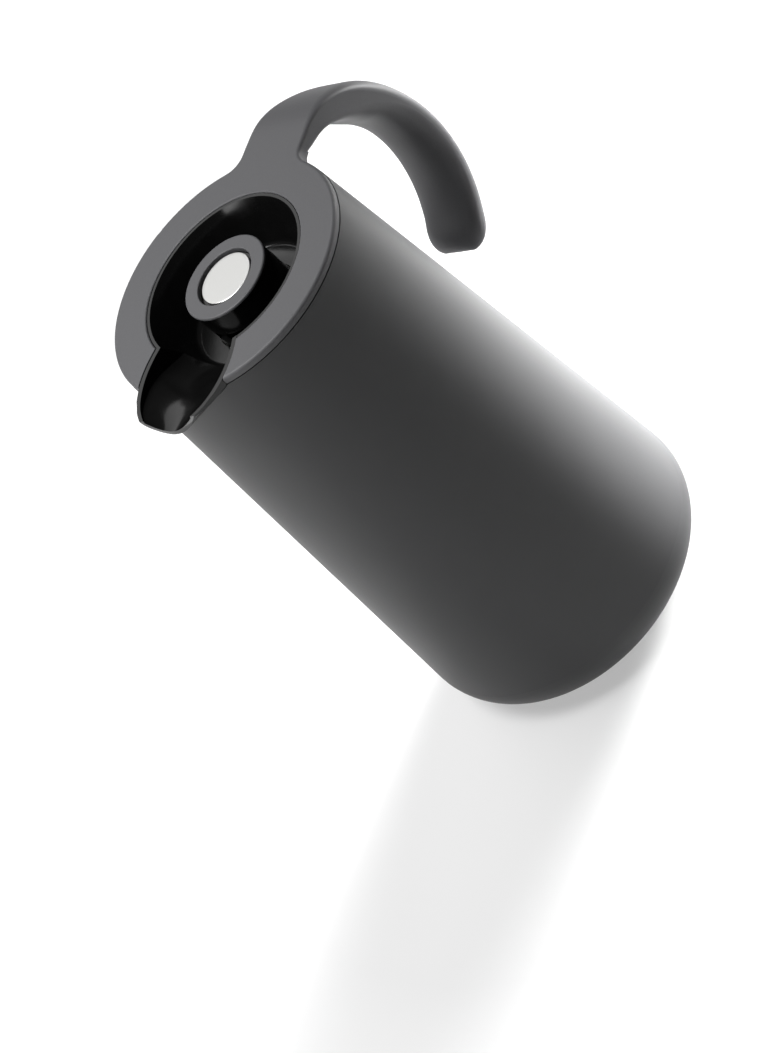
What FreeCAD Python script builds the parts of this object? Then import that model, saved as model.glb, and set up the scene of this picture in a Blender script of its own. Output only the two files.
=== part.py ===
"""Vacuum jug: conical shell, collar with hook handle, pouring funnel, glass flask and press-button stopper.

Millimetres. +Z is up and the origin is on the floor under the jug's axis. The spout points to -X and the
handle to +X. Depths are measured down from the collar's top face.
"""
import FreeCAD
import Part
import math
import os

Vector = FreeCAD.Vector
AXIS = Vector(0, 0, 1)
ORIGIN = Vector(0, 0, 0)

# Clearances
SEAM_GAP = 0.4
FIT_GAP = 0.3
PRESS_GAP = 0.05
SLIDE_GAP = 0.1
SAME_POINT = 1e-6

# Outer shell: a cone with a rounded foot, open at both ends
JUG_HEIGHT = 253.0
TOP_RADIUS = 58.0
BASE_RADIUS = 74.0
BASE_EDGE_RADIUS = 22.0
SHELL_WALL = 2.6
BASE_LIP_SHARE = 0.34
SOCKET_WALL = 2.4
SOCKET_HEIGHT = 13.0

# Collar: flat ring flush with the shell, with a skirt inside the shell and four screw bosses
COLLAR_THICKNESS = 3.2
COLLAR_EDGE_ROUND = 1.4
COLLAR_WIDTH_SHARE = 0.3034
RECESS_EDGE_ROUND = 0.6
SKIRT_WALL = 2.0
SKIRT_DEPTH = 10.0
BOSS_RADIUS = 3.4
SCREW_COUNT = 4
SCREW_INSET = 7.5
SCREW_RADIUS = 1.5
SCREW_HEAD_RADIUS = 2.8
SCREW_HEAD_HEIGHT = 1.8
SCREW_BITE = 6.0
LEDGE_DEPTH = 12.0
LEDGE_THICKNESS = 2.4
LEDGE_WIDTH = 14.0

# Handle: a flat neck that thickens into an oval hook with a free end
NECK_HALF_WIDTH = 17.0
NECK_FILLET = 9.0
NECK_THICKNESS = 5.8
NECK_LENGTH = 4.0
NECK_STRAIGHT = 10.0
HOOK_WIDTH = 30.3
HOOK_THICKNESS = 17.3
CREST_RADIUS = 38.0
CREST_TURN_DEGREES = 25.0
HOOK_RADIUS = 69.0
HOOK_TURN_DEGREES = 114.5
NECK_STEPS = 3
HOOK_STEP_DEGREES = 6.0
SWELL_LENGTH = 62.0
SWELL_POWER = 1.4
OVAL_LENGTH = 92.0
HOOK_FLAT = 1.2
TIP_LENGTH = 10.8
TIP_FLAT = 0.3
TIP_SHARES = (0.35, 0.6, 0.8, 0.92, 0.98)

# Pouring funnel: bowl, throat, rim flange and a channel that runs out as a beak
FUNNEL_WALL = 2.2
FUNNEL_LIP_WALL = 1.3
FUNNEL_LIP_DROP = 0.5
FLANGE_WIDTH = 6.1
FLANGE_THICKNESS = 2.0
BOWL_DEPTH = 22.0
BOWL_FLOOR_SHARE = 0.755
BOWL_FLOOR_FALL = 1.2
BOWL_FILLET = 3.0
THROAT_LEDGE_WIDTH = 4.0
THROAT_LEDGE_THICKNESS = 2.3
SPOUT_HALF_WIDTH = 24.7
SPOUT_REACH = 13.2
SPOUT_TOP_DROP = 0.3
LIP_DROP = 5.8
LIP_SETBACK = 2.4
# Share of the reach and share of the half width along the beak's nose
NOSE_SHAPE = ((0.0, 0.915), (0.28, 0.835), (0.6, 0.745), (0.82, 0.63), (0.925, 0.42))
NOSE_ROOT = 5.5

# Glass flask: two bottles joined at the lip
GLASS_WALL = 1.6
VACUUM_GAP = 3.2
FLASK_CLEARANCE = 6.0
NECK_BORE_GAP = 0.8
FLASK_BOTTOM_Z = 16.0
FLASK_EDGE_RADIUS = 26.0
SHOULDER_DEPTH = 73.0
NECK_DEPTH = 50.0
SHOULDER_ROUND = 18.0
NECK_ROUND = 10.0
LIP_HEIGHT = 2.0
PUMP_TIP_RADIUS = 4.0
PUMP_TIP_LENGTH = 4.5
SPACER_COUNT = 3
SPACER_RADIUS = 6.0
SPACER_HEIGHT = 70.0
GASKET_THICKNESS = 2.0
GASKET_INSET = 0.4

# Base: cover with grip bar, rubber foot and flask cushion
FOOT_PROUD = 1.0
FOOT_INSET = 2.5
FOOT_WIDTH = 5.0
FOOT_GROOVE = 1.2
COVER_THICKNESS = 3.0
COVER_SKIRT_WALL = 2.5
COVER_SKIRT_HEIGHT = 11.0
WELL_DEPTH = 4.0
GRIP_WIDTH = 9.0
CUSHION_INSET = 8.0
CUSHION_WIDTH = 10.7
CUSHION_CUP = 6.0

# Stopper: body with pour window and button chamber, and a cup for the spring
KNOB_SHARE = 0.5124
KNOB_DROP = 1.3
CAP_THICKNESS = 4.0
CAP_WIDTH = 6.7
CAP_ROUND = 0.8
CAP_OVERLAP = 2.3
CAP_EDGE_THICKNESS = 1.2
KNOB_OVERHANG = 0.5
STOPPER_WALL = 2.6
STOPPER_DEPTH = 36.0
THROAT_GAP = 0.8
CHAMBER_STEP = 0.8
WEB_THICKNESS = 2.0
POCKET_RADIUS = 6.4
POCKET_WALL = 1.6
POCKET_DEPTH = 8.4
POCKET_FLOOR = 4.2
WINDOW_SHARE = 0.644
WINDOW_HEIGHT = 8.0
WINDOW_HEADROOM = 0.4
SEAL_HEIGHT = 4.0
SEAL_RISE = 3.0
SEAL_GROOVE = 1.0
SEAL_FIN = 0.65
SEAL_FIN_HEIGHT = 1.2

# Button, valve and spring
BUTTON_TRAVEL = 4.0
STOP_GAP = 0.3
FACE_GAP = 0.7
FACE_DROP = 1.1
FACE_THICKNESS = 1.0
FACE_ROUND = 0.3
HEAD_GAP = 0.4
BUTTON_FLANGE = 1.6
STEM_RADIUS = 2.5
O_RING_WIRE = 1.8
SEAT_WIDTH = 8.0
SEAT_HEIGHT = 4.0
PLATE_OVERLAP = 3.2
PLATE_THICKNESS = 1.8
HUB_RADIUS = 4.4
HUB_HEIGHT = 3.6
VALVE_GASKET_THICKNESS = 1.05
VALVE_GASKET_WIDTH = 3.6
PLATE_SCREW_RADIUS = 1.3
PLATE_SCREW_HEAD_RADIUS = 3.0
PLATE_SCREW_HEAD_HEIGHT = 1.5
PLATE_SCREW_BITE = 8.0
SPRING_RADIUS = 4.5
SPRING_WIRE = 0.9
SPRING_TURNS = 5

# Radii worked out from the sizes above
LEAN = math.atan((BASE_RADIUS - TOP_RADIUS) / JUG_HEIGHT)
RECESS_RADIUS = TOP_RADIUS * (1 - COLLAR_WIDTH_SHARE)
SCREW_CIRCLE_RADIUS = TOP_RADIUS - SCREW_INSET
LEDGE_RADIUS = TOP_RADIUS - LEDGE_WIDTH
NECK_END = TOP_RADIUS + NECK_LENGTH
FLANGE_RADIUS = RECESS_RADIUS + FLANGE_WIDTH
BOWL_FLOOR_RADIUS = RECESS_RADIUS * BOWL_FLOOR_SHARE
KNOB_RADIUS = RECESS_RADIUS * KNOB_SHARE
CAP_BORE_RADIUS = KNOB_RADIUS - CAP_WIDTH
CAP_BODY_RADIUS = KNOB_RADIUS - CAP_OVERLAP
STOPPER_RADIUS = KNOB_RADIUS - KNOB_OVERHANG
STOPPER_BORE_RADIUS = STOPPER_RADIUS - STOPPER_WALL
WINDOW_HALF_WIDTH = STOPPER_RADIUS * WINDOW_SHARE
CHAMBER_RADIUS = CAP_BORE_RADIUS + CHAMBER_STEP
FACE_RADIUS = CAP_BORE_RADIUS - FACE_GAP
HEAD_RADIUS = CAP_BORE_RADIUS - HEAD_GAP
BUTTON_FLANGE_RADIUS = CHAMBER_RADIUS - HEAD_GAP
SEAT_RADIUS = STOPPER_RADIUS - SEAT_WIDTH
PLATE_RADIUS = SEAT_RADIUS + PLATE_OVERLAP
THROAT_RADIUS = STOPPER_RADIUS + THROAT_GAP
THROAT_OUTER_RADIUS = THROAT_RADIUS + FUNNEL_WALL
FLASK_NECK_BORE = THROAT_OUTER_RADIUS + NECK_BORE_GAP
FLASK_NECK_RADIUS = FLASK_NECK_BORE + 2 * GLASS_WALL + VACUUM_GAP

# Depths worked out from the sizes above
RIM_DEPTH = COLLAR_THICKNESS + SEAM_GAP
LEDGE_BOTTOM_DEPTH = LEDGE_DEPTH + LEDGE_THICKNESS
CAP_TOP_DEPTH = KNOB_DROP
CAP_BOTTOM_DEPTH = CAP_TOP_DEPTH + CAP_THICKNESS
CAP_EDGE_DEPTH = CAP_TOP_DEPTH + CAP_EDGE_THICKNESS
FLANGE_BOTTOM_DEPTH = CAP_BOTTOM_DEPTH + BUTTON_FLANGE
WEB_TOP_DEPTH = FLANGE_BOTTOM_DEPTH + BUTTON_TRAVEL + STOP_GAP
WEB_BOTTOM_DEPTH = WEB_TOP_DEPTH + WEB_THICKNESS
POCKET_BOTTOM_DEPTH = WEB_TOP_DEPTH + POCKET_DEPTH
FACE_TOP_DEPTH = CAP_TOP_DEPTH + FACE_DROP
FACE_BOTTOM_DEPTH = FACE_TOP_DEPTH + FACE_THICKNESS
GASKET_TOP_DEPTH = STOPPER_DEPTH + PRESS_GAP
PLATE_TOP_DEPTH = GASKET_TOP_DEPTH + VALVE_GASKET_THICKNESS
PLATE_BOTTOM_DEPTH = PLATE_TOP_DEPTH + PLATE_THICKNESS
THROAT_DEPTH = STOPPER_DEPTH + THROAT_LEDGE_THICKNESS
FUNNEL_SEAT_DEPTH = BOWL_DEPTH + BOWL_FLOOR_FALL + FUNNEL_WALL
FLASK_LIP_DEPTH = FUNNEL_SEAT_DEPTH + GASKET_THICKNESS
COVER_TOP_Z = FOOT_PROUD + COVER_THICKNESS


def below(depth):
    """Height of a level that lies this far below the collar's top face."""
    return JUG_HEIGHT - depth


def cone_radius(z):
    """Radius of the shell's outer cone at this height."""
    return BASE_RADIUS + (TOP_RADIUS - BASE_RADIUS) * z / JUG_HEIGHT


def inner_cone_radius(z):
    """Radius of the shell's inner wall at this height."""
    return cone_radius(z) - SHELL_WALL / math.cos(LEAN)


def foot_arc_centre():
    """Centre, as radius and height, of the arc that rounds the shell's foot."""
    z = FOOT_PROUD + BASE_EDGE_RADIUS
    return cone_radius(z) - BASE_EDGE_RADIUS / math.cos(LEAN), z


# Radii of the base and the flask, which follow the cone
BASE_FLAT_RADIUS = foot_arc_centre()[0]
BASE_OPENING_RADIUS = BASE_FLAT_RADIUS + BASE_LIP_SHARE * BASE_EDGE_RADIUS
COVER_RADIUS = BASE_OPENING_RADIUS - FIT_GAP
FOOT_RADIUS = BASE_FLAT_RADIUS - FOOT_INSET
FLASK_RADIUS = inner_cone_radius(below(SHOULDER_DEPTH)) - FLASK_CLEARANCE
CUSHION_RADIUS = FLASK_RADIUS - CUSHION_INSET
CUSHION_BORE_RADIUS = CUSHION_RADIUS - CUSHION_WIDTH
WELL_RADIUS = CUSHION_BORE_RADIUS - FIT_GAP - COVER_THICKNESS


def closed_outline(points, rounds=None):
    """Wire through the points, with the corners named in rounds as arcs of the given radius."""
    rounds = rounds or {}
    count = len(points)
    starts = []
    ends = []
    arcs = []
    for i, corner in enumerate(points):
        radius = rounds.get(i, 0)
        if not radius:
            starts.append(corner)
            ends.append(corner)
            arcs.append(None)
            continue
        back = (points[i - 1] - corner).normalize()
        ahead = (points[(i + 1) % count] - corner).normalize()
        half = back.getAngle(ahead) / 2
        start = corner + back * (radius / math.tan(half))
        end = corner + ahead * (radius / math.tan(half))
        middle = corner + (back + ahead).normalize() * (radius / math.sin(half) - radius)
        starts.append(start)
        ends.append(end)
        arcs.append(Part.Arc(start, middle, end).toShape())
    edges = []
    for i in range(count):
        if arcs[i]:
            edges.append(arcs[i])
        line_end = starts[(i + 1) % count]
        if ends[i].distanceToPoint(line_end) > SAME_POINT:
            edges.append(Part.LineSegment(ends[i], line_end).toShape())
    return Part.Wire(edges)


def revolved(profile, rounds=None):
    """Solid of revolution about the jug's axis from (radius, height) points."""
    points = [Vector(r, 0, z) for r, z in profile]
    return Part.Face(closed_outline(points, rounds)).revolve(ORIGIN, AXIS, 360)


def ring(inner, outer, low, high):
    """Plain ring, or a disc if the inner radius is 0."""
    return revolved([(inner, low), (outer, low), (outer, high), (inner, high)])


def rod(radius, low, high, x=0.0, y=0.0):
    """Upright round rod."""
    return Part.makeCylinder(radius, high - low, Vector(x, y, low))


def around(shape, count, first_angle):
    """Copies of a shape at even angles about the jug's axis."""
    copies = []
    for i in range(count):
        copy = shape.copy()
        copy.rotate(ORIGIN, AXIS, first_angle + i * 360 / count)
        copies.append(copy)
    return copies


def smooth_step(x):
    """Rise from 0 to 1 with level ends."""
    x = min(max(x, 0.0), 1.0)
    return x * x * (3 - 2 * x)


# Spout channel, shared by the funnel and by the cuts that it passes through

# Distance from the axis, half width inside, floor depth and depth where the sides turn upright
SPOUT_STATIONS = (
    (BOWL_FLOOR_RADIUS - 4.5, 19.0, BOWL_DEPTH - 0.2, BOWL_DEPTH - 10.0),
    (RECESS_RADIUS - 4.4, 21.5, 17.5, 9.0),
    (TOP_RADIUS - 11.0, 22.4, 11.5, 5.0),
    (TOP_RADIUS - 1.0, 20.6, 7.6, 3.0),
    (TOP_RADIUS + 8.0, 15.9, 6.2, 1.5),
    (TOP_RADIUS + SPOUT_REACH, 11.5, 5.8, 1.0),
    (TOP_RADIUS + SPOUT_REACH + 6.0, 9.0, 5.8, 1.0),
)
CHANNEL_OVERRUN = 8.0


def channel(grow, top_depth):
    """Loft of the channel's U-shaped sections, grown outwards and closed at the given depth."""
    wires = []
    for distance, half_width, floor_depth, side_depth in SPOUT_STATIONS:
        side = half_width + grow
        low_left = Vector(-distance, -side, below(side_depth))
        low_right = Vector(-distance, side, below(side_depth))
        floor = Vector(-distance, 0, below(floor_depth + grow))
        top_left = Vector(-distance, -side, below(top_depth))
        top_right = Vector(-distance, side, below(top_depth))
        edges = [
            Part.Arc(low_left, floor, low_right).toShape(),
            Part.LineSegment(low_right, top_right).toShape(),
            Part.LineSegment(top_right, top_left).toShape(),
            Part.LineSegment(top_left, low_left).toShape(),
        ]
        wires.append(Part.Wire(edges))
    return Part.makeLoft(wires, True, False)


def beak(grow, top_depth):
    """The channel's outer body, trimmed to the beak's rounded nose seen from above."""
    nose_half = [(TOP_RADIUS - NOSE_ROOT, SPOUT_HALF_WIDTH)]
    for along, across in NOSE_SHAPE:
        nose_half.append((TOP_RADIUS + along * SPOUT_REACH, across * SPOUT_HALF_WIDTH))
    low = below(BOWL_DEPTH + CHANNEL_OVERRUN)
    right = [Vector(-x - grow, y + grow, low) for x, y in nose_half]
    left = [Vector(p.x, -p.y, p.z) for p in reversed(right)]
    tip = Vector(-TOP_RADIUS - SPOUT_REACH - grow, 0, low)
    nose = Part.BSplineCurve()
    nose.interpolate(right + [tip] + left)
    back_right = Vector(0, right[0].y, low)
    back_left = Vector(0, -right[0].y, low)
    edges = [
        nose.toShape(),
        Part.LineSegment(left[-1], back_left).toShape(),
        Part.LineSegment(back_left, back_right).toShape(),
        Part.LineSegment(back_right, right[0]).toShape(),
    ]
    prism = Part.Face(Part.Wire(edges)).extrude(AXIS * (BOWL_DEPTH + 2 * CHANNEL_OVERRUN))
    return channel(FUNNEL_WALL + grow, top_depth).common(prism)


# Shell and base


def foot_arc_height(radius, arc_radius):
    """Height of the foot's arc at a given radius from the axis."""
    centre_r, centre_z = foot_arc_centre()
    return centre_z - math.sqrt(arc_radius**2 - (radius - centre_r) ** 2)


def foot_arc_point(angle, arc_radius):
    """Point on the foot's arc at an angle above the horizontal."""
    centre_r, centre_z = foot_arc_centre()
    return Vector(centre_r + arc_radius * math.cos(angle), 0, centre_z + arc_radius * math.sin(angle))


def outer_shell():
    """Conical wall with rounded foot, base socket and screw ledge, notched for the beak."""
    inner_arc = BASE_EDGE_RADIUS - SHELL_WALL
    rim_z = below(RIM_DEPTH)
    low_outer = Vector(BASE_OPENING_RADIUS, 0, foot_arc_height(BASE_OPENING_RADIUS, BASE_EDGE_RADIUS))
    low_inner = Vector(BASE_OPENING_RADIUS, 0, foot_arc_height(BASE_OPENING_RADIUS, inner_arc))
    rim_outer = Vector(cone_radius(rim_z), 0, rim_z)
    rim_inner = Vector(inner_cone_radius(rim_z), 0, rim_z)
    edges = [
        Part.Arc(low_outer, foot_arc_point(-math.pi / 6, BASE_EDGE_RADIUS),
                 foot_arc_point(LEAN, BASE_EDGE_RADIUS)).toShape(),
        Part.LineSegment(foot_arc_point(LEAN, BASE_EDGE_RADIUS), rim_outer).toShape(),
        Part.LineSegment(rim_outer, rim_inner).toShape(),
        Part.LineSegment(rim_inner, foot_arc_point(LEAN, inner_arc)).toShape(),
        Part.Arc(foot_arc_point(LEAN, inner_arc), foot_arc_point(-math.pi / 6, inner_arc),
                 low_inner).toShape(),
        Part.LineSegment(low_inner, low_outer).toShape(),
    ]
    wall = Part.Face(Part.Wire(edges)).revolve(ORIGIN, AXIS, 360)
    socket_low = (low_outer.z + low_inner.z) / 2
    socket_outer = BASE_OPENING_RADIUS + SOCKET_WALL
    socket = ring(BASE_OPENING_RADIUS, socket_outer, socket_low, FOOT_PROUD + SOCKET_HEIGHT)
    ledge_root = (inner_cone_radius(below(LEDGE_DEPTH)) + cone_radius(below(LEDGE_DEPTH))) / 2
    ledge = ring(LEDGE_RADIUS, ledge_root, below(LEDGE_BOTTOM_DEPTH), below(LEDGE_DEPTH))
    hole = rod(SCREW_RADIUS + FIT_GAP, below(LEDGE_BOTTOM_DEPTH), below(LEDGE_DEPTH), SCREW_CIRCLE_RADIUS)
    shell = wall.fuse([socket, ledge])
    return shell.cut(screw_pattern(hole) + [beak(SEAM_GAP, -CHANNEL_OVERRUN)])


def screw_pattern(shape):
    """Copies of a shape at the collar screws, clear of spout and handle."""
    return around(shape, SCREW_COUNT, 180 / SCREW_COUNT)


def collar_screws():
    """Pan-head screws driven up through the shell's ledge into the collar's bosses."""
    head_low = below(LEDGE_BOTTOM_DEPTH) - SCREW_HEAD_HEIGHT
    head = rod(SCREW_HEAD_RADIUS, head_low, below(LEDGE_BOTTOM_DEPTH), SCREW_CIRCLE_RADIUS)
    shank = rod(SCREW_RADIUS, head_low, below(LEDGE_DEPTH) + SCREW_BITE, SCREW_CIRCLE_RADIUS)
    return Part.makeCompound(screw_pattern(head.fuse(shank)))


def base_cover():
    """Cover that closes the shell from below: skirt, foot groove and a grip bar across a well."""
    edge_z = foot_arc_height(COVER_RADIUS, BASE_EDGE_RADIUS)
    skirt_inner = COVER_RADIUS - COVER_SKIRT_WALL
    skirt_top = FOOT_PROUD + COVER_SKIRT_HEIGHT
    profile = [
        (0, FOOT_PROUD),
        (BASE_FLAT_RADIUS, FOOT_PROUD),
        (COVER_RADIUS, edge_z),
        (COVER_RADIUS, skirt_top),
        (skirt_inner, skirt_top),
        (skirt_inner, COVER_TOP_Z),
        (WELL_RADIUS + COVER_THICKNESS, COVER_TOP_Z),
        (WELL_RADIUS + COVER_THICKNESS, COVER_TOP_Z + WELL_DEPTH),
        (0, COVER_TOP_Z + WELL_DEPTH),
    ]
    cover = revolved(profile)
    well = rod(WELL_RADIUS, FOOT_PROUD, FOOT_PROUD + WELL_DEPTH)
    bar_corner = Vector(-WELL_RADIUS, -GRIP_WIDTH / 2, FOOT_PROUD)
    bar = Part.makeBox(2 * WELL_RADIUS, GRIP_WIDTH, WELL_DEPTH, bar_corner)
    groove = ring(FOOT_RADIUS - FOOT_WIDTH, FOOT_RADIUS, FOOT_PROUD, FOOT_PROUD + FOOT_GROOVE)
    return cover.cut([well.cut(bar), groove])


def foot_ring():
    """Rubber ring in the cover's groove. The jug stands on it."""
    inner = FOOT_RADIUS - FOOT_WIDTH + PRESS_GAP
    outer = FOOT_RADIUS - PRESS_GAP
    return ring(inner, outer, 0, FOOT_PROUD + FOOT_GROOVE)


def base_cushion():
    """Rubber ring that cups the flask's rounded bottom edge."""
    block = ring(CUSHION_BORE_RADIUS, CUSHION_RADIUS, COVER_TOP_Z, FLASK_BOTTOM_Z + CUSHION_CUP)
    return block.cut(bottle(-PRESS_GAP, below(FLASK_LIP_DEPTH)))


# Glass flask


def bottle(inset, top_z):
    """Filled bottle whose surface lies this far inside the flask's outer glass."""
    neck_r = FLASK_NECK_RADIUS - inset
    body_r = FLASK_RADIUS - inset
    slope = math.atan((FLASK_RADIUS - FLASK_NECK_RADIUS) / (SHOULDER_DEPTH - NECK_DEPTH))
    drop = inset * math.tan(slope / 2)
    profile = [
        (0, FLASK_BOTTOM_Z + inset),
        (body_r, FLASK_BOTTOM_Z + inset),
        (body_r, below(SHOULDER_DEPTH) - drop),
        (neck_r, below(NECK_DEPTH) - drop),
        (neck_r, top_z),
        (0, top_z),
    ]
    rounds = {1: FLASK_EDGE_RADIUS - inset, 2: SHOULDER_ROUND - inset, 3: NECK_ROUND + inset}
    return revolved(profile, rounds)


def flask_outer_bottle():
    """Outer bottle, turned in at the lip to meet the inner one, with the sealed pump tip below."""
    lip_z = below(FLASK_LIP_DEPTH)
    tip_z = FLASK_BOTTOM_Z - PUMP_TIP_LENGTH
    tip = Part.makeCone(PUMP_TIP_RADIUS / 2, PUMP_TIP_RADIUS, PUMP_TIP_LENGTH + GLASS_WALL / 2,
                        Vector(0, 0, tip_z))
    hole = rod(FLASK_NECK_BORE + GLASS_WALL, below(NECK_DEPTH), lip_z)
    hollow = bottle(GLASS_WALL, lip_z - LIP_HEIGHT)
    return bottle(0, lip_z).fuse(tip).cut([hollow, hole])


def flask_inner_bottle():
    """Inner bottle that holds the drink."""
    lip_z = below(FLASK_LIP_DEPTH)
    outer_inset = GLASS_WALL + VACUUM_GAP
    return bottle(outer_inset, lip_z).cut(bottle(outer_inset + GLASS_WALL, lip_z))


def flask_spacers():
    """Pads that hold the two bottles apart near the bottom."""
    inner = FLASK_RADIUS - GLASS_WALL - VACUUM_GAP + PRESS_GAP
    outer = FLASK_RADIUS - GLASS_WALL - PRESS_GAP
    pad = Part.makeCylinder(SPACER_RADIUS, FLASK_RADIUS, Vector(0, 0, SPACER_HEIGHT), Vector(1, 0, 0))
    band = ring(inner, outer, SPACER_HEIGHT - 2 * SPACER_RADIUS, SPACER_HEIGHT + 2 * SPACER_RADIUS)
    return Part.makeCompound(around(pad.common(band), SPACER_COUNT, 0))


def neck_gasket():
    """Flat ring between the flask's lip and the underside of the funnel."""
    inner = FLASK_NECK_BORE + GASKET_INSET
    outer = FLASK_NECK_RADIUS - GASKET_INSET
    return ring(inner, outer, below(FLASK_LIP_DEPTH), below(FUNNEL_SEAT_DEPTH))


# Pouring funnel


def pouring_funnel():
    """Bowl, throat and rim flange in one moulding, with the channel cut through to the beak."""
    lip_radius = RECESS_RADIUS - FIT_GAP
    rim_radius = lip_radius - FUNNEL_LIP_WALL
    lip_z = below(FUNNEL_LIP_DROP)
    rim_z = below(COLLAR_THICKNESS)
    open_z = below(-CHANNEL_OVERRUN)
    floor_z = below(BOWL_DEPTH)
    wall_slope = (rim_radius - BOWL_FLOOR_RADIUS) / (BOWL_DEPTH - FUNNEL_LIP_DROP)
    flange_z = rim_z - FLANGE_THICKNESS
    wall_foot = BOWL_FLOOR_RADIUS + FUNNEL_WALL
    body_profile = [
        (0, below(THROAT_DEPTH)),
        (THROAT_OUTER_RADIUS, below(THROAT_DEPTH)),
        (THROAT_OUTER_RADIUS, below(FUNNEL_SEAT_DEPTH)),
        (wall_foot, below(FUNNEL_SEAT_DEPTH)),
        (wall_foot + wall_slope * (FUNNEL_SEAT_DEPTH - COLLAR_THICKNESS - FLANGE_THICKNESS), flange_z),
        (FLANGE_RADIUS, flange_z),
        (FLANGE_RADIUS, rim_z),
        (lip_radius, rim_z),
        (lip_radius, lip_z),
        (0, lip_z),
    ]
    bowl_profile = [
        (0, floor_z - BOWL_FLOOR_FALL),
        (THROAT_RADIUS, floor_z - BOWL_FLOOR_FALL),
        (BOWL_FLOOR_RADIUS, floor_z),
        (rim_radius, lip_z),
        (rim_radius, open_z),
        (0, open_z),
    ]
    bowl = revolved(bowl_profile, {2: BOWL_FILLET})
    bore = rod(THROAT_RADIUS, below(STOPPER_DEPTH), floor_z)
    ledge_hole = rod(THROAT_RADIUS - THROAT_LEDGE_WIDTH, below(THROAT_DEPTH), floor_z)
    tip_x = -TOP_RADIUS - SPOUT_REACH
    lip_slope = closed_outline([
        Vector(tip_x + LIP_SETBACK, -SPOUT_HALF_WIDTH, below(SPOUT_TOP_DROP)),
        Vector(tip_x, -SPOUT_HALF_WIDTH, below(LIP_DROP)),
        Vector(tip_x - CHANNEL_OVERRUN, -SPOUT_HALF_WIDTH, open_z),
        Vector(tip_x + LIP_SETBACK, -SPOUT_HALF_WIDTH, open_z),
    ])
    slope_cut = Part.Face(lip_slope).extrude(Vector(0, 2 * SPOUT_HALF_WIDTH, 0))
    body = revolved(body_profile).fuse(beak(0, SPOUT_TOP_DROP).cut(slope_cut))
    return body.cut([bowl, bore, ledge_hole, channel(0, -CHANNEL_OVERRUN)])


# Collar and handle


def hook_stations():
    """Distance along the handle, point on its outer line and direction, from neck to tip."""
    neck_end = Vector(NECK_END, 0, JUG_HEIGHT)
    start = neck_end + Vector(NECK_STRAIGHT, 0, 0)
    stations = []
    for step in range(NECK_STEPS):
        distance = NECK_STRAIGHT * step / NECK_STEPS
        stations.append((distance, neck_end + Vector(distance, 0, 0), 0.0))
    travelled = NECK_STRAIGHT
    heading = 0.0
    arcs = ((CREST_RADIUS, CREST_TURN_DEGREES), (HOOK_RADIUS, HOOK_TURN_DEGREES))
    for radius, turn_degrees in arcs:
        turn = math.radians(turn_degrees)
        steps = math.ceil(turn_degrees / HOOK_STEP_DEGREES)
        centre = start - outward(heading) * radius
        for step in range(steps):
            swept = turn * step / steps
            point = centre + outward(heading + swept) * radius
            stations.append((travelled + radius * swept, point, heading + swept))
        travelled += radius * turn
        heading += turn
        start = centre + outward(heading) * radius
    stations.append((travelled, start, heading))
    return stations


def outward(heading):
    """Direction square to the handle's outer line, away from the hand."""
    return Vector(math.sin(heading), 0, math.cos(heading))


def quarter(start, corner, end):
    """Quarter of an ellipse between two sides that meet at a corner."""
    curve = Part.BezierCurve()
    curve.setPoles([start, corner, end])
    curve.setWeight(2, math.sqrt(0.5))
    return curve.toShape()


def hook_section(centre, heading, width, thickness, rounding):
    """Oblong section square to the handle, with elliptic corners given as (across, through)."""
    across = Vector(0, 1, 0)
    through = outward(heading)

    def at(y, n):
        return centre + across * y + through * n

    w = width / 2
    t = thickness / 2
    corners = []
    for side_y, side_n in ((1, 1), (-1, 1), (-1, -1), (1, -1)):
        corner = at(side_y * w, side_n * t)
        on_side = at(side_y * w, side_n * (t - rounding[1]))
        on_face = at(side_y * (w - rounding[0]), side_n * t)
        leads_in = side_y * side_n > 0
        corners.append((on_side, corner, on_face) if leads_in else (on_face, corner, on_side))
    edges = []
    for i, corner in enumerate(corners):
        edges.append(quarter(*corner))
        edges.append(Part.LineSegment(corner[2], corners[(i + 1) % 4][0]).toShape())
    return Part.Wire(edges)


def hook():
    """Loft of the handle from the flat neck through the oval hook to its rounded free end."""
    wires = []
    for distance, outer_point, heading in hook_stations():
        swell = 1 - max(1 - distance / SWELL_LENGTH, 0) ** SWELL_POWER
        oval = smooth_step(distance / OVAL_LENGTH)
        thickness = NECK_THICKNESS + (HOOK_THICKNESS - NECK_THICKNESS) * swell
        width = 2 * NECK_HALF_WIDTH + (HOOK_WIDTH - 2 * NECK_HALF_WIDTH) * oval
        full = ((width - HOOK_FLAT) / 2, (thickness - HOOK_FLAT) / 2)
        rounding = tuple(COLLAR_EDGE_ROUND + (f - COLLAR_EDGE_ROUND) * oval for f in full)
        centre = outer_point - outward(heading) * (thickness / 2)
        wires.append(hook_section(centre, heading, width, thickness, rounding))
    forward = Vector(math.cos(heading), 0, -math.sin(heading))
    for share in TIP_SHARES:
        shrink = math.sqrt(1 - share * share)
        tip_width = width - thickness * (1 - shrink)
        tip_thickness = thickness * shrink
        tip_round = ((tip_width - HOOK_FLAT) / 2, (tip_thickness - TIP_FLAT) / 2)
        tip_centre = centre + forward * (TIP_LENGTH * share)
        wires.append(hook_section(tip_centre, heading, tip_width, tip_thickness, tip_round))
    return Part.makeLoft(wires, True, False)


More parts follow.
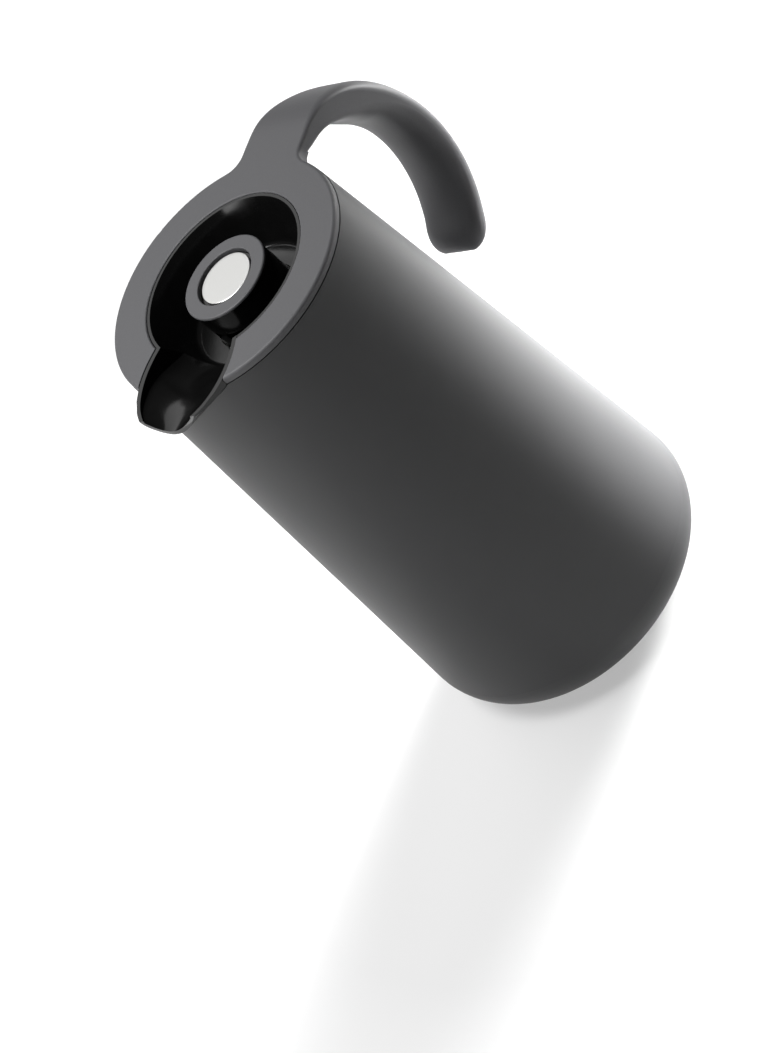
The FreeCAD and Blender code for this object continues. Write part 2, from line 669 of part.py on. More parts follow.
def neck_prism(low_depth):
    """Flat neck of the handle seen from above, with the hollow corners where it leaves the collar."""
    fillet_y = NECK_HALF_WIDTH + NECK_FILLET
    fillet_x = math.sqrt((TOP_RADIUS + NECK_FILLET) ** 2 - fillet_y**2)
    on_circle = TOP_RADIUS / (TOP_RADIUS + NECK_FILLET)
    angle = math.atan2(fillet_y, fillet_x) + math.pi
    middle_angle = (angle + 1.5 * math.pi) / 2
    low = below(low_depth)
    start = Vector(fillet_x * on_circle, fillet_y * on_circle, low)
    middle = Vector(fillet_x + NECK_FILLET * math.cos(middle_angle),
                    fillet_y + NECK_FILLET * math.sin(middle_angle), low)
    end = Vector(fillet_x, NECK_HALF_WIDTH, low)
    corner = Vector(NECK_END, NECK_HALF_WIDTH, low)

    def mirrored(p):
        return Vector(p.x, -p.y, p.z)

    edges = [
        Part.Arc(start, middle, end).toShape(),
        Part.LineSegment(end, corner).toShape(),
        Part.LineSegment(corner, mirrored(corner)).toShape(),
        Part.LineSegment(mirrored(corner), mirrored(end)).toShape(),
        Part.Arc(mirrored(end), mirrored(middle), mirrored(start)).toShape(),
        Part.LineSegment(mirrored(start), start).toShape(),
    ]
    return Part.Face(Part.Wire(edges)).extrude(Vector(0, 0, low_depth))


def collar_plate():
    """Flat ring and neck with rounded top edges."""
    low_z = below(COLLAR_THICKNESS)
    plate = rod(TOP_RADIUS, low_z, JUG_HEIGHT).fuse(neck_prism(COLLAR_THICKNESS)).removeSplitter()
    plate = plate.cut(rod(RECESS_RADIUS, low_z, JUG_HEIGHT))
    outer_edges = []
    for edge in plate.Edges:
        on_top = min(v.Z for v in edge.Vertexes) > JUG_HEIGHT - COLLAR_THICKNESS / 2
        middle = edge.valueAt((edge.FirstParameter + edge.LastParameter) / 2)
        at_hole = math.hypot(middle.x, middle.y) < RECESS_RADIUS + PRESS_GAP
        at_neck_end = middle.x > NECK_END - PRESS_GAP
        if on_top and not at_hole and not at_neck_end:
            outer_edges.append(edge)
    plate = plate.makeFillet(COLLAR_EDGE_ROUND, outer_edges)
    inner_edges = [e for e in plate.Edges
                   if isinstance(e.Curve, Part.Circle) and abs(e.Curve.Radius - RECESS_RADIUS) < PRESS_GAP
                   and e.Vertexes[0].Z > JUG_HEIGHT - PRESS_GAP]
    return plate.makeFillet(RECESS_EDGE_ROUND, inner_edges)


def collar_handle():
    """Collar ring, skirt, bosses and hook handle in one moulding, open where the beak passes."""
    low_z = below(COLLAR_THICKNESS)
    shell_cone = Part.makeCone(cone_radius(0) + FIT_GAP, cone_radius(JUG_HEIGHT) + FIT_GAP, JUG_HEIGHT)
    shell_cone = shell_cone.common(rod(BASE_RADIUS, 0, low_z))
    neck_rib = neck_prism(NECK_THICKNESS).cut(shell_cone)
    neck_rib = neck_rib.cut(rod(BASE_RADIUS, low_z, JUG_HEIGHT))
    skirt_radius = inner_cone_radius(below(RIM_DEPTH)) - FIT_GAP
    skirt = ring(skirt_radius - SKIRT_WALL, skirt_radius, below(SKIRT_DEPTH), low_z)
    boss = rod(BOSS_RADIUS, below(LEDGE_DEPTH), low_z, SCREW_CIRCLE_RADIUS)
    pilot = rod(SCREW_RADIUS + PRESS_GAP, below(LEDGE_DEPTH), below(LEDGE_DEPTH) + SCREW_BITE + FIT_GAP,
                SCREW_CIRCLE_RADIUS)
    collar = collar_plate().fuse([neck_rib, skirt, hook()] + screw_pattern(boss))
    return collar.cut(screw_pattern(pilot) + [beak(FIT_GAP, -CHANNEL_OVERRUN)])


# Stopper


def stopper_body():
    """Tube with the button's chamber above a step, the pour window and the groove for the lip seal."""
    seal_low = below(STOPPER_DEPTH) + SEAL_RISE
    profile = [
        (STOPPER_BORE_RADIUS, below(STOPPER_DEPTH)),
        (STOPPER_RADIUS, below(STOPPER_DEPTH)),
        (STOPPER_RADIUS, seal_low),
        (STOPPER_RADIUS - SEAL_GROOVE, seal_low),
        (STOPPER_RADIUS - SEAL_GROOVE, seal_low + SEAL_HEIGHT),
        (STOPPER_RADIUS, seal_low + SEAL_HEIGHT),
        (STOPPER_RADIUS, below(CAP_EDGE_DEPTH)),
        (CAP_BODY_RADIUS + PRESS_GAP, below(CAP_EDGE_DEPTH)),
        (CAP_BODY_RADIUS + PRESS_GAP, below(CAP_BOTTOM_DEPTH)),
        (CHAMBER_RADIUS, below(CAP_BOTTOM_DEPTH)),
        (CHAMBER_RADIUS, below(WEB_TOP_DEPTH)),
        (STOPPER_BORE_RADIUS, below(WEB_TOP_DEPTH)),
    ]
    window_top = below(WEB_BOTTOM_DEPTH + WINDOW_HEADROOM)
    window = Part.makeBox(STOPPER_RADIUS, 2 * WINDOW_HALF_WIDTH, WINDOW_HEIGHT,
                          Vector(-STOPPER_RADIUS - POCKET_RADIUS - POCKET_WALL - FIT_GAP, -WINDOW_HALF_WIDTH,
                                 window_top - WINDOW_HEIGHT))
    return revolved(profile).cut(window)


def spring_cup():
    """Cup pressed up against the body's step: web, pocket for the spring and bore for the stem."""
    bore = STEM_RADIUS + SLIDE_GAP
    pocket_outer = POCKET_RADIUS + POCKET_WALL
    web_radius = STOPPER_BORE_RADIUS - PRESS_GAP
    cup_low = below(POCKET_BOTTOM_DEPTH + POCKET_FLOOR)
    profile = [
        (bore, cup_low),
        (pocket_outer, cup_low),
        (pocket_outer, below(WEB_BOTTOM_DEPTH)),
        (web_radius, below(WEB_BOTTOM_DEPTH)),
        (web_radius, below(WEB_TOP_DEPTH)),
        (POCKET_RADIUS, below(WEB_TOP_DEPTH)),
        (POCKET_RADIUS, below(POCKET_BOTTOM_DEPTH)),
        (bore, below(POCKET_BOTTOM_DEPTH)),
    ]
    return revolved(profile).cut(o_ring_groove())


def o_ring_groove():
    """Groove inside the stem bore that holds the O-ring."""
    middle = below(POCKET_BOTTOM_DEPTH + POCKET_FLOOR / 2)
    half = O_RING_WIRE / 2 + PRESS_GAP
    outer = STEM_RADIUS + O_RING_WIRE + 2 * PRESS_GAP
    return ring(STEM_RADIUS, outer, middle - half, middle + half)


def stem_seal():
    """O-ring round the stem."""
    middle = Vector(0, 0, below(POCKET_BOTTOM_DEPTH + POCKET_FLOOR / 2))
    return Part.makeTorus(STEM_RADIUS + PRESS_GAP + O_RING_WIRE / 2, O_RING_WIRE / 2, middle)


def stopper_cap_ring():
    """Ring let into the stopper's top, with a thin rounded edge that covers the joint."""
    low = below(CAP_BOTTOM_DEPTH)
    edge_low = below(CAP_EDGE_DEPTH)
    top = below(CAP_TOP_DEPTH)
    profile = [
        (CAP_BORE_RADIUS, low),
        (CAP_BODY_RADIUS, low),
        (CAP_BODY_RADIUS, edge_low),
        (KNOB_RADIUS, edge_low),
        (KNOB_RADIUS, top),
        (CAP_BORE_RADIUS, top),
    ]
    return revolved(profile, {4: CAP_ROUND, 5: CAP_ROUND / 2})


def stopper_lip_seal():
    """Seal in the stopper's groove with two fins that brush the throat."""
    low = below(STOPPER_DEPTH) + SEAL_RISE
    base = ring(STOPPER_RADIUS - SEAL_GROOVE, STOPPER_RADIUS, low, low + SEAL_HEIGHT)
    fin = ring(STOPPER_RADIUS - SEAL_GROOVE / 2, STOPPER_RADIUS + SEAL_FIN, low, low + SEAL_FIN_HEIGHT)
    upper_fin = fin.translated(Vector(0, 0, SEAL_HEIGHT - SEAL_FIN_HEIGHT))
    return base.fuse([fin, upper_fin])


def valve_seat():
    """Ring pressed into the stopper's lower end. Its underside is the valve's seat."""
    outer = STOPPER_BORE_RADIUS - PRESS_GAP
    return ring(SEAT_RADIUS, outer, below(STOPPER_DEPTH), below(STOPPER_DEPTH - SEAT_HEIGHT))


# Button and valve


def button_disc():
    """Steel disc on the button."""
    low = below(FACE_BOTTOM_DEPTH)
    top = below(FACE_TOP_DEPTH)
    return revolved([(0, low), (FACE_RADIUS, low), (FACE_RADIUS, top), (0, top)], {2: FACE_ROUND})


def button_plunger():
    """Button head with its stop flange and the stem that carries the valve plate."""
    head = rod(HEAD_RADIUS, below(CAP_BOTTOM_DEPTH), below(FACE_BOTTOM_DEPTH))
    flange = rod(BUTTON_FLANGE_RADIUS, below(FLANGE_BOTTOM_DEPTH), below(CAP_BOTTOM_DEPTH))
    stem = rod(STEM_RADIUS, below(PLATE_TOP_DEPTH), below(FLANGE_BOTTOM_DEPTH))
    pilot = rod(PLATE_SCREW_RADIUS + PRESS_GAP, below(PLATE_TOP_DEPTH),
                below(PLATE_TOP_DEPTH - PLATE_SCREW_BITE - FIT_GAP))
    return head.fuse([flange, stem]).cut(pilot)


def valve_plate():
    """Plate that closes the seat from below, with a hub round the stem."""
    plate = rod(PLATE_RADIUS, below(PLATE_BOTTOM_DEPTH), below(PLATE_TOP_DEPTH))
    hub = ring(STEM_RADIUS + PRESS_GAP, HUB_RADIUS, below(PLATE_TOP_DEPTH),
               below(PLATE_TOP_DEPTH - HUB_HEIGHT))
    hole = rod(PLATE_SCREW_RADIUS + SLIDE_GAP, below(PLATE_BOTTOM_DEPTH), below(PLATE_TOP_DEPTH))
    return plate.cut(hole).fuse(hub)


def valve_gasket():
    """Soft ring on the plate that meets the seat."""
    inner = PLATE_RADIUS - VALVE_GASKET_WIDTH
    return ring(inner, PLATE_RADIUS, below(PLATE_TOP_DEPTH), below(GASKET_TOP_DEPTH))


def plate_screw():
    """Screw that holds the plate on the stem."""
    head_low = below(PLATE_BOTTOM_DEPTH) - PLATE_SCREW_HEAD_HEIGHT
    head = rod(PLATE_SCREW_HEAD_RADIUS, head_low, below(PLATE_BOTTOM_DEPTH))
    return head.fuse(rod(PLATE_SCREW_RADIUS, head_low, below(PLATE_TOP_DEPTH - PLATE_SCREW_BITE)))


def helix_point(turn, low, pitch):
    """Point and direction on the spring's centre line."""
    angle = 2 * math.pi * turn
    point = Vector(SPRING_RADIUS * math.cos(angle), SPRING_RADIUS * math.sin(angle), low + pitch * turn)
    rise = pitch / (2 * math.pi)
    direction = Vector(-SPRING_RADIUS * math.sin(angle), SPRING_RADIUS * math.cos(angle), rise).normalize()
    return point, direction


def biarc(start, start_dir, end, end_dir):
    """Two tangent arcs from one point and direction to another."""
    chord = end - start
    spread = start_dir + end_dir
    a = 2 * (1 - start_dir.dot(end_dir))
    b = 2 * chord.dot(spread)
    reach = (-b + math.sqrt(b * b + 4 * a * chord.dot(chord))) / (2 * a)
    first = start + start_dir * reach
    second = end - end_dir * reach
    joint = (first + second) / 2
    edges = []
    for p, control, q in ((start, first, joint), (joint, second, end)):
        weight = p.distanceToPoint(q) / (2 * reach)
        middle = (p + control * (2 * weight) + q) / (2 + 2 * weight)
        edges.append(Part.Arc(p, middle, q).toShape())
    return edges


def return_spring():
    """Coil spring between the pocket's floor and the button's flange."""
    low = below(POCKET_BOTTOM_DEPTH) + SPRING_WIRE / 2 + PRESS_GAP
    high = below(FLANGE_BOTTOM_DEPTH) - SPRING_WIRE / 2 - PRESS_GAP
    pitch = (high - low) / SPRING_TURNS
    edges = []
    for i in range(4 * SPRING_TURNS):
        start, start_dir = helix_point(i / 4, low, pitch)
        end, end_dir = helix_point((i + 1) / 4, low, pitch)
        edges += biarc(start, start_dir, end, end_dir)
    start, start_dir = helix_point(0, low, pitch)
    section = Part.Wire(Part.Circle(start, start_dir, SPRING_WIRE / 2).toShape())
    print("spring: gap between turns", round(pitch - SPRING_WIRE, 2))
    return Part.Wire(edges).makePipeShell([section], True, False)


PIECES = (
    outer_shell, base_cover, foot_ring, base_cushion,
    flask_outer_bottle, flask_inner_bottle, flask_spacers, neck_gasket,
    pouring_funnel, collar_handle, collar_screws,
    stopper_body, spring_cup, stopper_cap_ring, stopper_lip_seal, stem_seal, valve_seat, return_spring,
    button_disc, button_plunger, valve_plate, valve_gasket, plate_screw,
)

os.makedirs("parts", exist_ok=True)
for piece in PIECES:
    shape = piece()
    shape.exportStep("parts/" + piece.__name__ + ".step")
    print(piece.__name__, len(shape.Solids), "solids", round(shape.Volume), "mm3", shape.isValid())
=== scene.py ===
"""Vacuum jug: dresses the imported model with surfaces, materials, camera and studio light.

Lengths are in metres. Names that end in _mm are in millimetres, for the patterns of the materials.
"""
import math
import bpy
import numpy as np
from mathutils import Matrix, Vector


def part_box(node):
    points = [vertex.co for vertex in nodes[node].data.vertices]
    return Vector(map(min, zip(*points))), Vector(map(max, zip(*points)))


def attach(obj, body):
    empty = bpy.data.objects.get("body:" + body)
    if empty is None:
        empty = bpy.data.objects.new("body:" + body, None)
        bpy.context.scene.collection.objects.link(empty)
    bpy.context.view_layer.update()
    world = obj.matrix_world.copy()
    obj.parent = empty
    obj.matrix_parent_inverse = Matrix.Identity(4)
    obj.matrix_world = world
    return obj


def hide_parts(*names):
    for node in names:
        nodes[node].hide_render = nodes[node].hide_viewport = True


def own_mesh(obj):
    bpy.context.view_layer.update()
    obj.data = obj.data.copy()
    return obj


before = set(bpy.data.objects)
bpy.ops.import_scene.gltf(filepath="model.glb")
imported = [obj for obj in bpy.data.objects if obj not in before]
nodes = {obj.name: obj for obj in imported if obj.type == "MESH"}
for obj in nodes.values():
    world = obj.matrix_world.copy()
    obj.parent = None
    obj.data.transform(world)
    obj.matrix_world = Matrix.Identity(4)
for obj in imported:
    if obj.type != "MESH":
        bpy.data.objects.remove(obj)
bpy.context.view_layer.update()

# Glass flask. Two bottles blown from borosilicate glass, melted together at the lip and silvered on the
# sides that face the vacuum. Three fibre pads hold them apart. Only the neck shows, with the stopper
# lifted out.


def linear(code):
    """Linear colour of an sRGB hex code, by the sRGB curve."""
    share = np.array([int(code[i:i + 2], 16) for i in (1, 3, 5)]) / 255
    low = share / 12.92
    high = ((share + 0.055) / 1.055) ** 2.4
    return (*np.where(share <= 0.04045, low, high).tolist(), 1.0)


def add(tree, kind, inputs=(), **settings):
    """Adds a shader node with its settings. Each input takes a value, or the output that feeds it."""
    made = tree.nodes.new("ShaderNode" + kind)
    for name, value in settings.items():
        setattr(made, name, value)
    for socket, value in dict(inputs).items():
        if isinstance(value, bpy.types.NodeSocket):
            tree.links.new(value, made.inputs[socket])
        else:
            made.inputs[socket].default_value = value
    return made


def blank(name):
    """New material without a shader, its node tree, and the position in millimetres for its patterns."""
    material = bpy.data.materials.new(name)
    material.use_nodes = True
    tree = material.node_tree
    tree.nodes.clear()
    position = add(tree, "TexCoord").outputs["Object"]
    mm = add(tree, "VectorMath", {0: position, "Scale": 1000.0}, operation="SCALE").outputs["Vector"]
    return material, tree, mm


def dress(material, *names):
    """Gives CAD nodes a material."""
    for name in names:
        nodes[name].data.materials.clear()
        nodes[name].data.materials.append(material)


# Silvered glass: a mirror under glass, with faint clouding where the silver is thin.
cloud_mm = 18
silver, tree, mm = blank("silvered_borosilicate_glass")
cloud = add(tree, "TexNoise", {"Vector": mm, "Scale": 1 / cloud_mm, "Detail": 3.0})
tint = add(tree, "MixRGB", {
    "Fac": cloud.outputs["Fac"], "Color1": linear("#d9dadb"), "Color2": linear("#eeeeec")})
haze = add(tree, "MapRange", {"Value": cloud.outputs["Fac"], "To Min": 0.04, "To Max": 0.12})
surface = add(tree, "BsdfPrincipled", {
    "Base Color": tint.outputs[0], "Metallic": 1.0, "Roughness": haze.outputs[0],
    "Coat Weight": 1.0, "Coat Roughness": 0.02})
add(tree, "OutputMaterial", {"Surface": surface.outputs[0]})
dress(silver, "flask_outer_bottle", "flask_inner_bottle")

# Pressed fibre: matt and flecked.
fleck_mm = 0.8
fleck_height = 0.0002
fibre, tree, mm = blank("pressed_fibre_pad")
fleck = add(tree, "TexNoise", {"Vector": mm, "Scale": 1 / fleck_mm, "Detail": 4.0})
tint = add(tree, "MixRGB", {
    "Fac": fleck.outputs["Fac"], "Color1": linear("#b8b0a0"), "Color2": linear("#d8d2c4")})
bump = add(tree, "Bump", {"Height": fleck.outputs["Fac"], "Distance": fleck_height, "Strength": 0.4})
surface = add(tree, "BsdfPrincipled", {
    "Base Color": tint.outputs[0], "Roughness": 0.9, "Normal": bump.outputs[0]})
add(tree, "OutputMaterial", {"Surface": surface.outputs[0]})
dress(fibre, "flask_spacers")

# Outer shell and base cover. Both are moulded in dark grey ABS, in a mould that was eroded to a satin
# finish. The shell is one cone with a rounded foot, and the cover is turned into it from below by the bar
# across its well.

# Satin ABS: dark grey with a broad dull sheen towards the edges, broken by an eroded grain. The grain is
# drawn at 0.6 mm, coarser than the real 0.1 mm, so that it still reads at this distance. The refraction
# is lower than the usual 1.54 of ABS, because the real sheen is weak.
grain_mm = 0.6
satin_grain_height = 0.00002
drift_mm = 45
abs_ior = 1.42
satin, tree, mm = blank("satin_dark_grey_abs")
grain = add(tree, "TexNoise", {"Vector": mm, "Scale": 1 / grain_mm, "Detail": 2.0})
drift = add(tree, "TexNoise", {"Vector": mm, "Scale": 1 / drift_mm, "Detail": 2.0})
tint = add(tree, "MixRGB", {
    "Fac": drift.outputs["Fac"], "Color1": linear("#2a2a2b"), "Color2": linear("#303031")})
sheen = add(tree, "MapRange", {"Value": drift.outputs["Fac"], "To Min": 0.46, "To Max": 0.52})
bump = add(tree, "Bump", {"Height": grain.outputs["Fac"], "Distance": satin_grain_height, "Strength": 0.5})
surface = add(tree, "BsdfPrincipled", {
    "Base Color": tint.outputs[0], "Roughness": sheen.outputs[0], "IOR": abs_ior,
    "Normal": bump.outputs[0]})
add(tree, "OutputMaterial", {"Surface": surface.outputs[0]})
dress(satin, "outer_shell", "base_cover")

# Rubber pieces. The foot ring, the cushion that the flask stands in and the O-ring round the button's stem
# are moulded in black rubber. The foot ring is pressed into a groove of the base cover.

# Moulded rubber: nearly black and matt, with a slight grey bloom.
bloom_mm = 6
rubber, tree, mm = blank("moulded_black_rubber")
bloom = add(tree, "TexNoise", {"Vector": mm, "Scale": 1 / bloom_mm, "Detail": 4.0})
tint = add(tree, "MixRGB", {
    "Fac": bloom.outputs["Fac"], "Color1": linear("#161616"), "Color2": linear("#232323")})
surface = add(tree, "BsdfPrincipled", {"Base Color": tint.outputs[0], "Roughness": 0.75})
add(tree, "OutputMaterial", {"Surface": surface.outputs[0]})
dress(rubber, "foot_ring", "base_cushion", "stem_seal")

# Silicone seals. The gasket on the flask's lip, the finned seal round the stopper and the gasket on the
# valve plate are moulded in grey silicone. Each lies in its seat and is held there by being squeezed.

# Silicone: pale grey and a little uneven, as if milky, with a soft dull sheen.
milk_mm = 4
silicone, tree, mm = blank("grey_silicone")
milk = add(tree, "TexNoise", {"Vector": mm, "Scale": 1 / milk_mm, "Detail": 2.0})
tint = add(tree, "MixRGB", {
    "Fac": milk.outputs["Fac"], "Color1": linear("#a9a9a6"), "Color2": linear("#b9b9b6")})
surface = add(tree, "BsdfPrincipled", {"Base Color": tint.outputs[0], "Roughness": 0.5})
add(tree, "OutputMaterial", {"Surface": surface.outputs[0]})
dress(silicone, "neck_gasket", "stopper_lip_seal", "valve_gasket")

# Pouring funnel and the stopper's mouldings. All are glossy black ABS: the funnel with its bowl and beak,
# the stopper's tube, the cup for the spring, the button's plunger, and the valve's seat and plate. The
# collar clamps the funnel on the flask's lip.

# Gloss ABS: deep black with dim sharp reflections, bent a little by the moulding's ripple.
ripple_mm = 5
ripple_height = 0.00003
gloss, tree, mm = blank("gloss_black_abs")
ripple = add(tree, "TexNoise", {"Vector": mm, "Scale": 1 / ripple_mm, "Detail": 1.0})
tint = add(tree, "MixRGB", {
    "Fac": ripple.outputs["Fac"], "Color1": linear("#0b0b0b"), "Color2": linear("#111111")})
bump = add(tree, "Bump", {"Height": ripple.outputs["Fac"], "Distance": ripple_height, "Strength": 0.3})
surface = add(tree, "BsdfPrincipled", {
    "Base Color": tint.outputs[0], "Roughness": 0.16, "IOR": abs_ior, "Normal": bump.outputs[0]})
add(tree, "OutputMaterial", {"Surface": surface.outputs[0]})
dress(gloss, "pouring_funnel", "stopper_body", "spring_cup", "button_plunger")
dress(gloss, "valve_plate", "valve_seat")

# Collar with handle, and the stopper's cap ring. Grey ABS, moulded with a finely eroded matt surface. The
# collar is held from below by four screws, and the cap ring is pressed into the stopper's top.

# Matt ABS: an even grey with a wide weak sheen. Its grain is drawn as coarse as the shell's, to show.
matt_grain_height = 0.00004
matt, tree, mm = blank("matt_grey_abs")
grain = add(tree, "TexNoise", {"Vector": mm, "Scale": 1 / grain_mm, "Detail": 2.0})
tint = add(tree, "MixRGB", {
    "Fac": grain.outputs["Fac"], "Color1": linear("#58585a"), "Color2": linear("#606062")})
bump = add(tree, "Bump", {"Height": grain.outputs["Fac"], "Distance": matt_grain_height, "Strength": 0.5})
surface = add(tree, "BsdfPrincipled", {
    "Base Color": tint.outputs[0], "Roughness": 0.52, "IOR": abs_ior, "Normal": bump.outputs[0]})
add(tree, "OutputMaterial", {"Surface": surface.outputs[0]})
dress(matt, "collar_handle", "stopper_cap_ring")

# Screws. Four small ones of zinc-plated steel hold the collar down on the shell's ledge, and one holds
# the valve plate on the button's stem.

# Plated steel: grey metal with dull patches where the zinc has bloomed.
patch_mm = 1.5
zinc, tree, mm = blank("zinc_plated_steel")
patch = add(tree, "TexNoise", {"Vector": mm, "Scale": 1 / patch_mm, "Detail": 3.0})
tint = add(tree, "MixRGB", {
    "Fac": patch.outputs["Fac"], "Color1": linear("#a5a8aa"), "Color2": linear("#c2c4c4")})
shine = add(tree, "MapRange", {"Value": patch.outputs["Fac"], "To Min": 0.25, "To Max": 0.5})
surface = add(tree, "BsdfPrincipled", {
    "Base Color": tint.outputs[0], "Metallic": 1.0, "Roughness": shine.outputs[0]})
add(tree, "OutputMaterial", {"Surface": surface.outputs[0]})
dress(zinc, "collar_screws", "plate_screw")

# Return spring. Five turns of spring steel wire, coiled cold and cut off plain at both ends. It stands in
# the spring cup's pocket, and the button's flange presses it together.
spring_low, spring_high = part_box("return_spring")
wire_thickness = 0.0009


def put(name, data):
    """Puts a new object with this data into the scene, at the origin."""
    thing = bpy.data.objects.new(name, data)
    bpy.context.scene.collection.objects.link(thing)
    return thing


def skin(name, points, faces, ends=()):
    """New piece, shaded smooth, from its points, its four-sided faces and the faces that close its ends."""
    mesh = bpy.data.meshes.new(name)
    mesh.from_pydata(points.tolist(), [], faces.tolist() + [end.tolist() for end in ends])
    mesh.shade_smooth()
    return put(name, mesh)


def coiled(name, radius, thickness, low, high, turns, steps, sides):
    """Wire of a coil spring: a circle carried along a helix.

    A point of the helix lies at the coil's radius, and its height grows evenly with its angle. The circle
    starts in the direction away from the axis and turns towards the direction that is square to that and
    to the wire. Its first and last place are closed by flat faces.
    """
    angle = np.linspace(0.0, 2 * math.pi * turns, steps)
    rise = (high - low) / (2 * math.pi * turns)
    outward = np.stack([np.cos(angle), np.sin(angle), np.zeros(steps)], axis=1)
    along = np.stack([-radius * np.sin(angle), radius * np.cos(angle), np.full(steps, rise)], axis=1)
    along /= math.hypot(radius, rise)
    across = np.cross(along, outward)
    centre = radius * outward
    centre[:, 2] = low + rise * angle
    around = np.linspace(0.0, 2 * math.pi, sides, endpoint=False)[None, :, None]
    ring = np.cos(around) * outward[:, None, :] + np.sin(around) * across[:, None, :]
    points = (centre[:, None, :] + thickness / 2 * ring).reshape(-1, 3)
    side = np.arange(sides)
    start = np.arange(steps - 1)[:, None] * sides
    first = start + side[None, :]
    beside = start + np.roll(side, -1)[None, :]
    faces = np.stack([first, beside, beside + sides, first + sides], axis=-1).reshape(-1, 4)
    return skin(name, points, faces, ends=[side[::-1], (steps - 1) * sides + side])


coil = coiled(
    "coil_spring", radius=spring_high.x - wire_thickness / 2, thickness=wire_thickness,
    low=spring_low.z + wire_thickness / 2, high=spring_high.z - wire_thickness / 2,
    turns=5, steps=301, sides=16)

# Drawn wire: bright and smooth, with faint marks from the die.
mark_mm = 0.4
wire, tree, mm = blank("drawn_spring_wire")
mark = add(tree, "TexNoise", {"Vector": mm, "Scale": 1 / mark_mm, "Detail": 2.0})
shine = add(tree, "MapRange", {"Value": mark.outputs["Fac"], "To Min": 0.18, "To Max": 0.32})
surface = add(tree, "BsdfPrincipled", {
    "Base Color": linear("#cfcfcd"), "Metallic": 1.0, "Roughness": shine.outputs[0]})
add(tree, "OutputMaterial", {"Surface": surface.outputs[0]})
coil.data.materials.append(wire)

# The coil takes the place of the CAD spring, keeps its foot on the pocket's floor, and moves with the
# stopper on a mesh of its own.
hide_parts("return_spring")
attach(coil, "stopper")
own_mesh(coil)

# Button disc. Stamped from stainless steel sheet with a turned-down edge, brushed in circles and glued on
# the button, where a narrow ring of black plastic shows round it.
disc_low, disc_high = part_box("button_disc")
plastic_ring = 0.0007
disc_radius = disc_high.x - plastic_ring
disc_centre = 0.002
edge_round = 0.0004


def turned(name, radii, heights, steps):
    """Surface of revolution about the jug's axis.

    A point's radius and height are the profile's, and its angle goes once round in equal steps. The first
    and the last ring are closed by flat faces.
    """
    angle = np.linspace(0.0, 2 * math.pi, steps, endpoint=False)
    x = np.outer(np.cos(angle), radii)
    y = np.outer(np.sin(angle), radii)
    z = np.broadcast_to(heights, x.shape)
    points = np.stack([x, y, z], axis=-1).reshape(-1, 3)
    rows = len(radii)
    start = np.arange(steps) * rows
    first = start[:, None] + np.arange(rows - 1)[None, :]
    ahead = np.roll(first, -1, axis=0)
    faces = np.stack([first, ahead, ahead + 1, first + 1], axis=-1).reshape(-1, 4)
    return skin(name, points, faces, ends=[start[::-1], start + rows - 1])


# The profile runs out along the underside, up round the edge and back in along the top.
underside = np.linspace(disc_centre, disc_radius, 8)
bend = np.linspace(0.0, math.pi / 2, 7)
topside = np.linspace(disc_radius - edge_round, disc_centre, 8)[1:]
disc_radii = np.concatenate([
    underside, disc_radius - edge_round + edge_round * np.cos(bend), topside])
disc_heights = np.concatenate([
    np.full_like(underside, disc_low.z),
    disc_high.z - edge_round + edge_round * np.sin(bend),
    np.full_like(topside, disc_high.z)])
disc = turned("brushed_disc", disc_radii, disc_heights, steps=128)
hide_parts("button_disc")
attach(disc, "button")

# Brushed steel: bright metal whose rings, 0.25 mm apart, smear reflections across the disc.
brushing_mm = 0.25
brushing_height = 0.000006
steel, tree, mm = blank("brushed_stainless_steel")
level = add(tree, "VectorMath", {0: mm, 1: (1.0, 1.0, 0.0)}, operation="MULTIPLY").outputs["Vector"]
radius = add(tree, "VectorMath", {0: level}, operation="LENGTH").outputs["Value"]
rings = add(tree, "TexNoise", {"W": radius, "Scale": 1 / brushing_mm, "Detail": 2.0}, noise_dimensions="1D")
shine = add(tree, "MapRange", {"Value": rings.outputs["Fac"], "To Min": 0.3, "To Max": 0.42})
bump = add(tree, "Bump", {"Height": rings.outputs["Fac"], "Distance": brushing_height, "Strength": 0.6})
surface = add(tree, "BsdfPrincipled", {
    "Base Color": linear("#dcdcda"), "Metallic": 1.0, "Roughness": shine.outputs[0],
    "Normal": bump.outputs[0]})
add(tree, "OutputMaterial", {"Surface": surface.outputs[0]})
disc.data.materials.append(steel)

# Studio. The jug stands on a wide sheet of pale paper in a dim room. Four soft lamps light it, and the
# camera has the place, the turn and the lens that were worked out from the photograph.
paper_reach = 6.0
corners = paper_reach * np.array([(-1, -1, 0), (1, -1, 0), (1, 1, 0), (-1, 1, 0)])
floor = skin("floor", corners, np.array([(0, 1, 2, 3)]))

# Studio paper: plain pale grey with the faintest mottling. To the eye and in reflections it is lit up to
# white, partly so near the jug and fully so far from it, and it casts none of that on the jug itself.
mottle_mm = 60
near_mm = 200.0
far_mm = 700.0
near_glow = 0.4
paper, tree, mm = blank("pale_studio_paper")
mottle = add(tree, "TexNoise", {"Vector": mm, "Scale": 1 / mottle_mm, "Detail": 2.0})
tint = add(tree, "MixRGB", {
    "Fac": mottle.outputs["Fac"], "Color1": linear("#bcbcbc"), "Color2": linear("#c0c0c0")})
sheet = add(tree, "BsdfDiffuse", {"Color": tint.outputs[0]})
away = add(tree, "VectorMath", {0: mm}, operation="LENGTH").outputs["Value"]
lit = add(tree, "MapRange", {
    "Value": away, "From Min": near_mm, "From Max": far_mm, "To Min": near_glow, "To Max": 1.0})
ray = add(tree, "LightPath").outputs
mirrored = add(tree, "Math", {0: ray["Is Glossy Ray"], 1: ray["Is Transmission Ray"]}, operation="ADD")
seen = add(tree, "Math", {
    0: ray["Is Camera Ray"], 1: mirrored.outputs[0]}, operation="ADD", use_clamp=True)
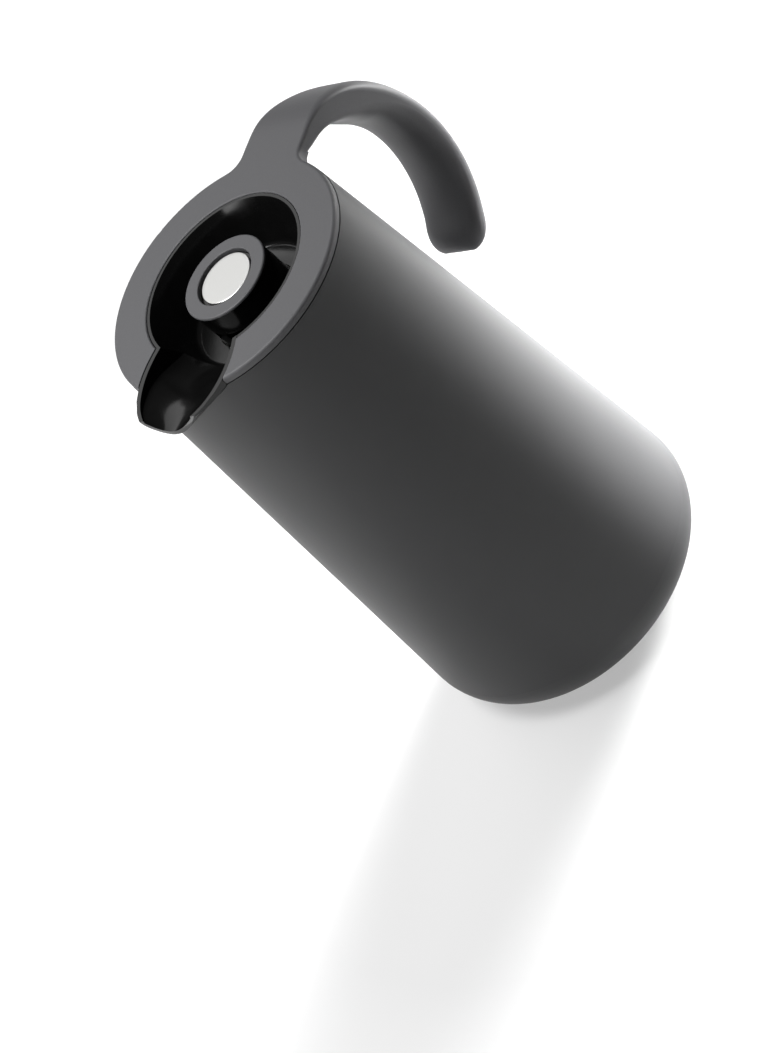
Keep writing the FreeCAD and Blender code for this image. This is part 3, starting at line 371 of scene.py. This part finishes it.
white = add(tree, "Math", {0: seen.outputs[0], 1: lit.outputs[0]}, operation="MULTIPLY")
glow = add(tree, "Emission", {"Color": linear("#ffffff"), "Strength": white.outputs[0]})
surface = add(tree, "AddShader", {0: sheet.outputs[0], 1: glow.outputs[0]})
add(tree, "OutputMaterial", {"Surface": surface.outputs[0]})
floor.data.materials.append(paper)

eye = bpy.data.cameras.new("camera")
eye.sensor_fit = "VERTICAL"
eye.sensor_height = 36.0
eye.lens = 115.763
camera = put("camera", eye)
camera.location = (-0.62127, -0.97145, 1.01283)
camera.rotation_euler = [math.radians(a) for a in (38.9779, 37.1416, -67.587)]
bpy.context.scene.camera = camera

# Each lamp: its place, the height on the jug's axis that it is aimed at, its width and height, the spread
# of its beam in degrees, and its power in watts. The lamp on the handle's side has a narrow beam that is
# aimed low, so that it grazes the shell and spares the handle.
lamps = {
    "handle_side_softbox": ((0.78, -0.08, 0.09), 0.02, (0.6, 0.14), 32.0, 6.0),
    "left_softbox": ((-1.05, 0.45, 0.22), 0.10, (0.9, 0.4), 180.0, 5.0),
    "back_softbox": ((0.58, 0.98, 1.12), 0.13, (0.9, 0.7), 180.0, 2.4),
    "top_softbox": ((-0.15, 0.15, 0.85), 0.13, (0.4, 0.4), 180.0, 5.2),
}
for name, (place, aim, size, spread, power) in lamps.items():
    lamp = bpy.data.lights.new(name, "AREA")
    lamp.shape = "RECTANGLE"
    lamp.size, lamp.size_y = size
    lamp.spread = math.radians(spread)
    lamp.energy = power
    beam = np.array((0.0, 0.0, aim)) - np.array(place)
    tilt = math.atan2(math.hypot(beam[0], beam[1]), -beam[2])
    turn = math.atan2(beam[1], beam[0]) - math.pi / 2
    holder = put(name, lamp)
    holder.location = place
    holder.rotation_euler = (tilt, 0, turn)

# A dim room, so that black plastic stays black.
room = bpy.data.worlds.new("studio_room")
room.use_nodes = True
tree = room.node_tree
tree.nodes.clear()
dim = add(tree, "Background", {"Color": linear("#ffffff"), "Strength": 0.05})
add(tree, "OutputWorld", {"Surface": dim.outputs[0]})
bpy.context.scene.world = room
bpy.context.scene.view_settings.view_transform = "Standard"
